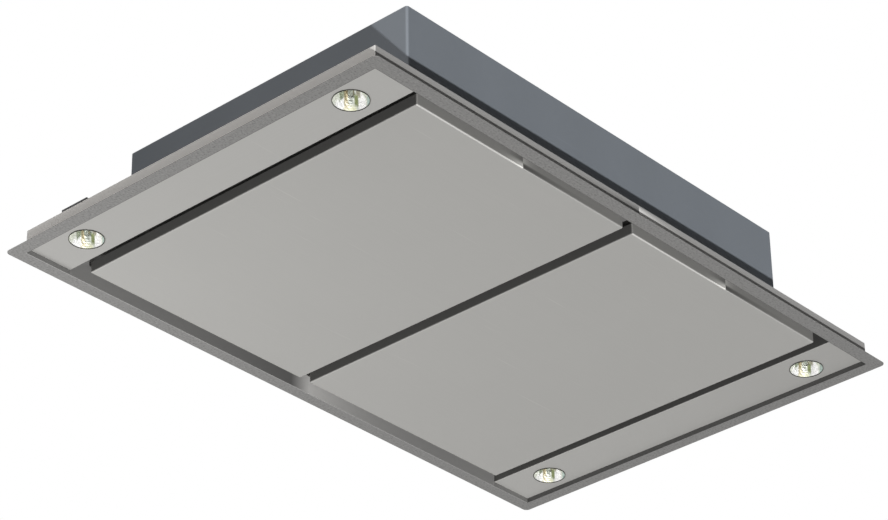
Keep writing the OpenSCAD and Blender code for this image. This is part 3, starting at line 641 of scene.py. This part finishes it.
def faceted_reflector():
    material, tree, place, facing = start_material("faceted reflector")
    share, under, over, mixed = 0, 6, 7, 2
    side_blur, end_blur = 1.667 * mm, 2.222 * mm
    darkest_facet, facet_spread = 0.78, 0.18
    across, beyond = place_in_lamp(place)
    coat = (0.80, 0.82, 0.77, 1.0)
    for label, (colour, middle, half_width, start, end) in painted_reflection_patches.items():
        mask = ramp(abs(across - middle * mm), half_width * mm, half_width * mm - side_blur)
        mask = mask * ramp(beyond, start * mm, start * mm + end_blur)
        mask = mask * ramp(beyond, end * mm, end * mm - end_blur)
        coat = put_node(tree, "ShaderNodeMix", {share: mask, under: coat, over: (*colour, 1.0)},
                        mixed, data_type="RGBA", label=label)
    chance = put_node(tree, "ShaderNodeTexWhiteNoise", {"Vector": facing}, "Value", noise_dimensions="3D")
    coat = scaled(tree, coat, chance * facet_spread + darkest_facet)
    # The coat also glows by its own colour, a painted brightness for its reflections.
    painted_glow = put_node(tree, "ShaderNodeVectorMath", {0: coat, 1: coat}, operation="MULTIPLY")
    finish_material(tree, {"Base Color": coat, "Metallic": 0.6, "Roughness": 0.42,
                           "Emission Color": painted_glow, "Emission Strength": 0.38})
    return material


def capsule_glass():
    material, tree, place, _ = start_material("capsule glass")
    most_haze = 0.12
    haze = put_node(tree, "ShaderNodeTexNoise", {"Vector": place, "Scale": 300.0})
    finish_material(tree, {"Base Color": (0.70, 0.72, 0.68, 1.0), "Roughness": haze * most_haze,
                           "IOR": 1.46, "Transmission Weight": 1.0})
    return material


reflector_coat = faceted_reflector()
bulb_glass = capsule_glass()
strip_sheet = 0.001
strip_top = strip_low + strip_sheet


def add_lamp_ring(n, centre):
    """A sleeve through the strip's hole, with a lip round its mouth and a flange on the strip."""
    shoulder_r, lip_w, wall_t, flange_t, bevel = 0.02525, 0.001, 0.0006, 0.0012, 0.0003
    (low_x, _, ring_low), (high_x, _, ring_top) = box(f"lamp_bezel_{n}")
    mouth_z = box(f"lamp_reflector_{n}")[0][2]
    lip_r, wall_r, flange_r = shoulder_r - lip_w, shoulder_r - wall_t, (high_x - low_x) / 2
    flange_top = strip_top + flange_t
    profile = [
        (lip_r, mouth_z), (lip_r, ring_low + bevel), (lip_r + bevel, ring_low),
        (shoulder_r - bevel, ring_low), (shoulder_r, ring_low + bevel), (shoulder_r, strip_top),
        (flange_r - bevel, strip_top), (flange_r, strip_top + bevel), (flange_r, flange_top - bevel),
        (flange_r - bevel, flange_top), (shoulder_r, flange_top), (shoulder_r, ring_top),
        (wall_r, ring_top), (wall_r, mouth_z)]
    mesh = turned_piece(f"lamp_ring_{n}", profile, centre, segments=64, closed=True)
    new_piece(f"lamp_ring_{n}", mesh, lamp_ring_paint, "hood", f"lamp_bezel_{n}",
              smooth_angle=35.0)


def add_lamp_bowl(n, centre):
    """A reflector pressed in rows of flat facets, each row turned by half a facet."""
    neck_r, gap, wall_t, facets, rows = 0.0065, 0.0004, 0.0006, 24, 7
    (low_x, _, mouth_z), (high_x, _, top_z) = box(f"lamp_reflector_{n}")
    mouth_r = round((high_x - low_x) / 2, 4)
    shares = [row / rows for row in range(rows + 1)]
    profile = [(neck_r + (mouth_r - neck_r) * math.sqrt(1.0 - share) - gap,
                mouth_z + (top_z - mouth_z) * share) for share in shares]
    mesh = turned_piece(f"lamp_bowl_{n}", profile, centre, facets, twist=0.5)
    bowl = new_piece(f"lamp_bowl_{n}", mesh, reflector_coat, "hood", f"lamp_reflector_{n}")
    wall = bowl.modifiers.new("wall", "SOLIDIFY")
    wall.thickness = wall_t
    wall.offset = 0.0


def add_lamp_capsule(n, centre):
    """A capsule with a round tip, and the flat pinch behind it that holds its two pins."""
    gap, end_r, shoulder_h, capsule_h, tip_steps = 0.0001, 0.0036, 0.002, 0.0139, 6
    pinch_l, pinch_t, pinch_gap = 0.0078, 0.0028, 0.0002
    (low_x, _, bulb_low), (high_x, _, bulb_top) = box(f"lamp_bulb_{n}")
    radius, low = (high_x - low_x) / 2 - gap, bulb_low + gap
    top = low + capsule_h
    turns = [math.pi / 2 * k / tip_steps for k in range(1, tip_steps + 1)]
    profile = [(0.0, low)]
    profile += [(radius * math.sin(turn), low + radius * (1.0 - math.cos(turn))) for turn in turns]
    profile += [(radius, top - shoulder_h), (end_r, top), (0.0, top)]
    mesh = turned_piece(f"lamp_capsule_{n}", profile, centre, segments=24)
    pinch_low, pinch_top = top + pinch_gap, bulb_top - gap
    pinch_size = Vector((pinch_l, pinch_t, pinch_top - pinch_low))
    made = bmesh.new()
    made.from_mesh(mesh)
    for corner in bmesh.ops.create_cube(made, size=1.0)["verts"]:
        corner.co = Vector((*centre, (pinch_low + pinch_top) / 2)) + corner.co * pinch_size
    made.to_mesh(mesh)
    made.free()
    new_piece(f"lamp_capsule_{n}", mesh, bulb_glass, "hood", f"lamp_bulb_{n}",
              smooth_angle=30.0)


for n in (1, 2, 3, 4):
    centre = middle_of(f"lamp_bezel_{n}")
    add_lamp_ring(n, centre)
    add_lamp_bowl(n, centre)
    add_lamp_capsule(n, centre)

ceramic = sheet_metal("lamp holder ceramic", (0.82, 0.80, 0.74), metallic=0.0, roughness=0.35, lines=0.0,
                      clouds=0.08, scratches=0.0)
finish_nodes(ceramic, "lamp_sockets")
lamp_box_paint = sheet_metal("lamp box dark paint", (0.060, 0.063, 0.068), metallic=0.0, roughness=0.5,
                             lines=0.02, clouds=0.15)
soften("lamp_housings", lamp_box_paint, radius=0.0008,
       picked=lambda middle, along: not at(middle.z, tray_top, within=0.0001))
black_plastic = sheet_metal("black moulded plastic", (0.022, 0.022, 0.024), metallic=0.0, roughness=0.45,
                            stretch=(500.0, 500.0, 500.0), lines=0.10, clouds=0.2, scratches=0.0)
finish_nodes(black_plastic, "lamp_terminal")

# Suction panels
# The two large plates that close the hood from below. Each is a stainless skin folded up on
# four sides with a small bend radius, closed by a zinc plated back pan, and hung on two hinges.


def folded_tray_mesh(name, low, high, bend):
    """A plate with four walls turned up, rounded along its bends, open at the top."""
    made = bmesh.new()
    bmesh.ops.create_cube(made, size=1.0)
    for corner in made.verts:
        corner.co = [low[i] + (high[i] - low[i]) * (corner.co[i] + 0.5) for i in range(3)]
    top = [f for f in made.faces if f.normal.z > straight]
    bmesh.ops.delete(made, geom=top, context="FACES_ONLY")
    bends = [e for e in made.edges if not e.is_boundary]
    bmesh.ops.bevel(made, geom=bends, offset=bend, segments=4, affect="EDGES", profile=0.5)
    return mesh_of(name, made)


panel_sheet = 0.001
for side in ("left", "right"):
    low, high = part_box(f"panel_skin_{side}")
    # The panel walls get painted reflection bands along the front, painted shade by facing, and a painted
    # highlight on the bends.
    panel_painted_bands = {"Middle": middle_of(f"panel_skin_{side}")[0], "Left": -0.40, "Right": -0.60,
                     "Left Reach": 0.07, "Right Reach": 0.26, "Lower": 2.35, "Glint": 0.50}
    panel_steel = sheet_metal(
        f"panel satin steel {side}", (0.658, 0.650, 0.624), metallic=0.08, roughness=0.42, specular=0.3,
        walls={"Left": 0.218, "Front": 0.64, "Bend Highlight": 0.30},
        extra_tone=lambda place, facing: painted_bands(place, facing, panel_painted_bands))
    mesh = folded_tray_mesh(f"panel_face_{side}", low, high, bend=0.0022)
    skin = new_piece(f"panel_face_{side}", mesh, panel_steel, f"panel_{side}", f"panel_skin_{side}")
    wall = skin.modifiers.new("sheet", "SOLIDIFY")
    wall.thickness = panel_sheet
    wall.offset = -1.0
    wall.use_even_offset = True

zinc = sheet_metal("zinc plated sheet", (0.50, 0.51, 0.50), metallic=0.5, roughness=0.38,
                   stretch=(40.0, 40.0, 40.0), lines=0.12, clouds=0.12)
finish_nodes(zinc, "panel_back_left", "panel_back_right", "hinge_leaves_left", "hinge_leaves_right",
             "strike_plates_left", "strike_plates_right", "hinge_brackets")
bright = sheet_metal("bright plated steel", (0.66, 0.66, 0.65), metallic=0.9, roughness=0.22, lines=0.03,
                     clouds=0.05)
finish_nodes(bright, "hinge_pins")
finish_nodes(black_plastic, "catch_magnets")

# Grease filters
# Aluminium frames with a pleated pack of two expanded meshes, whose strands make diamonds.
# A sprung bolt at the front holds each one, and a folded rail carries its back edge.

FLOAT, INTEGER = "NodeSocketFloat", "NodeSocketInt"
MATERIAL, OBJECT = "NodeSocketMaterial", "NodeSocketObject"


def start_repeat(name, inputs):
    """A geometry tree, and its start mesh and named inputs as values."""
    tree = bpy.data.node_groups.new(name, "GeometryNodeTree")
    kinds = {"Geometry": "NodeSocketGeometry", **inputs}
    for label, kind in kinds.items():
        tree.interface.new_socket(label, in_out="INPUT", socket_type=kind)
    tree.interface.new_socket("Geometry", in_out="OUTPUT", socket_type="NodeSocketGeometry")
    return tree, *put_node(tree, "NodeGroupInput", {}, tuple(kinds))


def finish_repeat(tree, repeated, material):
    """The last nodes of a tree: copies made real, and their material."""
    real = put_node(tree, "GeometryNodeRealizeInstances", {0: repeated})
    painted = put_node(tree, "GeometryNodeSetMaterial", {"Geometry": real, "Material": material})
    put_node(tree, "NodeGroupOutput", {"Geometry": painted})
    return tree


def run_repeat(name, tree, start, values):
    """Runs a geometry tree on a start mesh, and gives the result as a plain mesh."""
    holder = bpy.data.objects.new(name + "_start", start)
    scene.collection.objects.link(holder)
    repeat = holder.modifiers.new("repeat", "NODES")
    repeat.node_group = tree
    for item in tree.interface.items_tree:
        if item.item_type == "SOCKET" and item.in_out == "INPUT" and item.name in values:
            repeat[item.identifier] = values[item.name]
    graph = bpy.context.evaluated_depsgraph_get()
    mesh = bpy.data.meshes.new_from_object(holder.evaluated_get(graph), depsgraph=graph)
    mesh.name = name
    holder.modifiers.remove(repeat)
    bpy.data.objects.remove(holder)
    return mesh


def combined(tree, **axes):
    """A vector from its X, Y and Z, of which those left out are 0."""
    return put_node(tree, "ShaderNodeCombineXYZ", axes)


def expanded_mesh_tree():
    """Diamonds of strand over a pleated sheet, in two layers that lie half a diamond apart."""
    tree, _, length, width, along, across, fold_w, fold_h, strand_r, layer_gap, material = start_repeat(
        "expanded mesh pack", {
            "Length": FLOAT, "Width": FLOAT, "Cells Along": INTEGER, "Cells Across": INTEGER,
            "Fold Width": FLOAT, "Fold Height": FLOAT, "Strand Radius": FLOAT, "Layer Gap": FLOAT,
            "Material": MATERIAL})
    cell_l, cell_w = length / (along + 0.5), width / across
    rows = put_node(tree, "GeometryNodeMeshGrid", {
        "Size X": cell_l * (along - 1.0), "Size Y": width - cell_w, "Vertices X": along,
        "Vertices Y": across}, "Mesh")
    _, y, _ = parts(put_node(tree, "GeometryNodeInputPosition", {}))
    fold = (width * 0.5 + y) / fold_w
    raised = put_node(tree, "GeometryNodeSetPosition", {
        "Geometry": rows, "Offset": combined(tree, Z=fold.step("PINGPONG", 1.0) * fold_h)})
    falling = fold.step("FLOOR").step("MODULO", 2.0)
    slope = fold_h.step("ARCTAN2", fold_w)
    half_cell = cell_w * 0.5 / slope.step("COSINE")
    diamond = put_node(tree, "GeometryNodeCurvePrimitiveQuadrilateral", {
        "Width": cell_l, "Bottom Height": half_cell, "Top Height": half_cell}, mode="KITE")
    wire = put_node(tree, "GeometryNodeCurvePrimitiveCircle", {"Resolution": 3, "Radius": strand_r})
    strand = put_node(tree, "GeometryNodeCurveToMesh", {"Curve": diamond, "Profile Curve": wire})
    cells = put_node(tree, "GeometryNodeInstanceOnPoints", {
        "Points": raised, "Instance": strand, "Rotation": combined(tree, X=slope * (1.0 - falling * 2.0))})
    quarter = cell_l * 0.25
    shifts = (combined(tree, X=quarter * -1.0), combined(tree, X=quarter, Z=layer_gap))
    layers = [put_node(tree, "GeometryNodeTransform", {"Geometry": cells, "Translation": shift})
              for shift in shifts]
    return finish_repeat(tree, put_node(tree, "GeometryNodeJoinGeometry", {0: layers}), material)


(frame_start_x, _, _), (frame_end_x, frame_y, _) = box("filter_frame_right")


def at_frame_side(middle, along):
    """The straight outer edges of a filter's frame."""
    x, y, within = abs(middle.x), abs(middle.y), 0.001
    at_end = at(x, frame_start_x, within) or at(x, frame_end_x, within)
    return level(along) and (at_end or at(y, frame_y, within))


filter_alloy = sheet_metal("filter aluminium", (0.62, 0.63, 0.64), metallic=0.6, roughness=0.35)
strand_alloy = sheet_metal("filter strand aluminium", (0.50, 0.51, 0.52), metallic=0.6, roughness=0.40,
                           stretch=(260.0, 260.0, 260.0), lines=0.35, clouds=0.2)
pack_tree = expanded_mesh_tree()
pleats, cells_per_pleat, cells_along = 24, 4, 40
strand_r, layer_gap = 0.00062, 0.0018
for side in ("left", "right"):
    soften(f"filter_frame_{side}", filter_alloy, radius=0.0008,
           picked=at_frame_side)
    low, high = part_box(f"filter_mesh_{side}")
    length, width, height = high.x - low.x, high.y - low.y, high.z - low.z - 2 * strand_r - layer_gap
    mesh = run_repeat(f"filter_pack_{side}", pack_tree, bpy.data.meshes.new("start"), {
        "Length": length, "Width": width, "Cells Along": cells_along,
        "Cells Across": cells_per_pleat * pleats, "Fold Width": width / (2 * pleats),
        "Fold Height": height, "Strand Radius": strand_r, "Layer Gap": layer_gap,
        "Material": strand_alloy})
    mesh.transform(Matrix.Translation(((low.x + high.x) / 2, (low.y + high.y) / 2, low.z + strand_r)))
    new_piece(f"filter_pack_{side}", mesh, strand_alloy, "hood", f"filter_mesh_{side}")
    finish_nodes(black_plastic, f"filter_latch_{side}")
soften("filter_rails", zinc, radius=0.0004,
       picked=lambda middle, along: abs(along.x) > straight)

# Housing
# Galvanised sheet bent round the blower, with its edges folded in, and a flat lid screwed on.
# The zinc gives it a dull blue grey with faint upright bands.

housing_x, housing_y, housing_top = box("housing_lid")[1]
band_radians_per_metre, band_depth = 47.0, 0.012
# How far in the left end reaches, and how dark its painted shade grows towards the back.
end_depth, end_painted_shade = 0.0015, 0.95


def bands_and_painted_shade(place, facing):
    """Faint bands, and painted shade on the left end that grows darker towards the back."""
    x, y, _ = parts(place)
    bands = changed(1.0, ((x + y) * band_radians_per_metre).step("SINE"), by=band_depth)
    towards_back = ramp(y, none_at=0.0, full_at=0.5) ** 2.0
    return bands - x.below(end_depth - housing_x) * towards_back * end_painted_shade


# Left-facing walls get painted light by facing, and the upright bend a painted highlight.
galvanised = sheet_metal("galvanised sheet", (0.378, 0.415, 0.462), metallic=0.0, roughness=0.55,
                         stretch=(60.0, 60.0, 60.0), clouds=0.04, specular=0.05,
                         walls={"Left": 0.97, "Bend Highlight": 0.26}, extra_tone=bands_and_painted_shade)
finish_nodes(galvanised, "housing_wrap", "housing_back", "housing_lid", "blower_scroll", "inlet_ring",
             "duct_plate", "duct_collar")
soften("hanging_brackets", zinc, radius=0.0004,
       picked=lambda middle, along: level(along))

# Screws
# Pan head screws with a cross recess hold the housing's folds and the hanging brackets.
# They are turned to chance angles, as a fitter leaves them.


def pan_head_mesh(name, head_r, head_h, shank_r, shank_l):
    """A screw on its own axis, whose head sits on a height of 0."""
    segments = 24
    tip_share, point_share = 0.6, 0.4
    crown_shares = ((1.0, 0.40), (0.93, 0.72), (0.78, 0.93), (0.62, 1.0))
    arm_share, slot_share, recess_share, floor_share = 0.48, 0.11, 0.8, 0.45
    arm, half = head_r * arm_share, head_r * slot_share
    rows = [(shank_r * tip_share, -shank_l), (shank_r, -shank_l + shank_r * point_share), (shank_r, 0.0),
            (head_r, 0.0)]
    rows += [(head_r * r_share, head_h * h_share) for r_share, h_share in crown_shares]
    turns = [2 * math.pi * k / segments for k in range(segments)]
    made = bmesh.new()
    rings = [[made.verts.new((r * math.cos(turn), r * math.sin(turn), z)) for turn in turns]
             for r, z in rows]
    for lower, upper in zip(rings, rings[1:]):
        for k in range(segments):
            made.faces.new((lower[k], lower[(k + 1) % segments], upper[(k + 1) % segments], upper[k]))
    made.faces.new(reversed(rings[0]))
    cross = [(arm, -half), (arm, half), (half, half), (half, arm), (-half, arm), (-half, half),
             (-arm, half), (-arm, -half), (-half, -half), (-half, -arm), (half, -arm), (half, -half)]
    rim = [made.verts.new((x, y, head_h)) for x, y in cross]
    recess = [made.verts.new((x * recess_share, y * recess_share, head_h * floor_share))
              for x, y in cross]
    corners = range(len(cross))
    edges = [made.edges.new((rim[k - 1], rim[k])) for k in corners]
    edges += [made.edges.get((rings[-1][k - 1], rings[-1][k])) for k in range(segments)]
    bmesh.ops.triangle_fill(made, edges=edges, use_beauty=True)
    for k in corners:
        made.faces.new((rim[k - 1], rim[k], recess[k], recess[k - 1]))
    made.faces.new(recess)
    bmesh.ops.recalc_face_normals(made, faces=made.faces)
    return mesh_of(name, made)


def screws_tree():
    """A screw on each point of the start mesh, each turned by chance."""
    tree, places, screw, seed, most_turn, material = start_repeat("screws at places", {
        "Screw": OBJECT, "Turn Seed": INTEGER, "Most Turn": FLOAT, "Material": MATERIAL})
    pattern = put_node(tree, "GeometryNodeObjectInfo", {"Object": screw}, "Geometry")
    largest, drawn = 3, 1
    chance = put_node(tree, "FunctionNodeRandomValue", {largest: most_turn, "Seed": seed}, drawn,
                      data_type="FLOAT")
    placed = put_node(tree, "GeometryNodeInstanceOnPoints", {
        "Points": places, "Instance": pattern, "Rotation": combined(tree, Z=chance)})
    return finish_repeat(tree, placed, material)


housing_sheet, fold_w, foot_t = 0.001, 0.012, 0.003
fold_x, fold_y = housing_x - fold_w / 2, housing_y - fold_w / 2
front_shares, end_shares = (-0.9, -0.3, 0.3, 0.9), (-0.45, 0.45)
along_front = [(share * housing_x, side * fold_y) for side in (-1, 1) for share in front_shares]
along_ends = [(side * fold_x, share * housing_y) for side in (-1, 1) for share in end_shares]
fold_places = [(x, y, z) for z in (tray_top + housing_sheet, housing_top)
               for x, y in along_front + along_ends]
foot_xs, foot_y = (0.257, 0.233), 0.190
foot_places = [(side_x * x, side_y * foot_y, housing_top + foot_t)
               for side_x in (-1, 1) for side_y in (-1, 1) for x in foot_xs]
screw_tree = screws_tree()
joined = bmesh.new()
for label, places, shank_l, turn_seed in (("fold_screw", fold_places, 0.003, 3),
                                          ("foot_screw", foot_places, 0.006, 8)):
    pattern_mesh = pan_head_mesh(label, head_r=0.004, head_h=0.0024, shank_r=0.002, shank_l=shank_l)
    screw_pattern = bpy.data.objects.new(label, pattern_mesh)
    scene.collection.objects.link(screw_pattern)
    start = bpy.data.meshes.new(label + "_places")
    start.from_pydata(places, [], [])
    joined.from_mesh(run_repeat(label, screw_tree, start, {
        "Screw": screw_pattern, "Turn Seed": turn_seed, "Most Turn": math.pi / 2, "Material": bright}))
    bpy.data.objects.remove(screw_pattern)
new_piece("pan_head_screws", mesh_of("pan_head_screws", joined), bright, "hood", "screws")

# Blower, duct and control box
# The motor is black enamelled, its mounts are soft rubber, the flaps are aluminium, and the box
# that holds the lacquered circuit board is white moulded plastic.

finish_nodes(zinc, "impeller", "motor_spider")
finish_nodes(bright, "motor_shaft", "damper_pin")
finish_nodes(filter_alloy, "damper_flap_front", "damper_flap_back")
enamel = sheet_metal("black enamel", (0.03, 0.03, 0.032), metallic=0.0, roughness=0.3,
                     stretch=(30.0, 30.0, 30.0), clouds=0.2)
finish_nodes(enamel, "motor")
rubber = sheet_metal("mount rubber", (0.018, 0.018, 0.018), metallic=0.0, roughness=0.8,
                     stretch=(300.0, 300.0, 300.0), lines=0.2, scratches=0.0)
finish_nodes(rubber, "blower_mounts")
finish_nodes(black_plastic, "cable_gland")
white_plastic = sheet_metal("white moulded plastic", (0.76, 0.76, 0.74), metallic=0.0, roughness=0.45,
                            stretch=(400.0, 400.0, 400.0), lines=0.03, scratches=0.0)
finish_nodes(white_plastic, "control_box", "control_cover")
board_green = sheet_metal("circuit board lacquer", (0.03, 0.20, 0.07), metallic=0.0, roughness=0.25,
                          stretch=(200.0, 20.0, 20.0), lines=0.3)
finish_nodes(board_green, "circuit_board")

low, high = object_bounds()
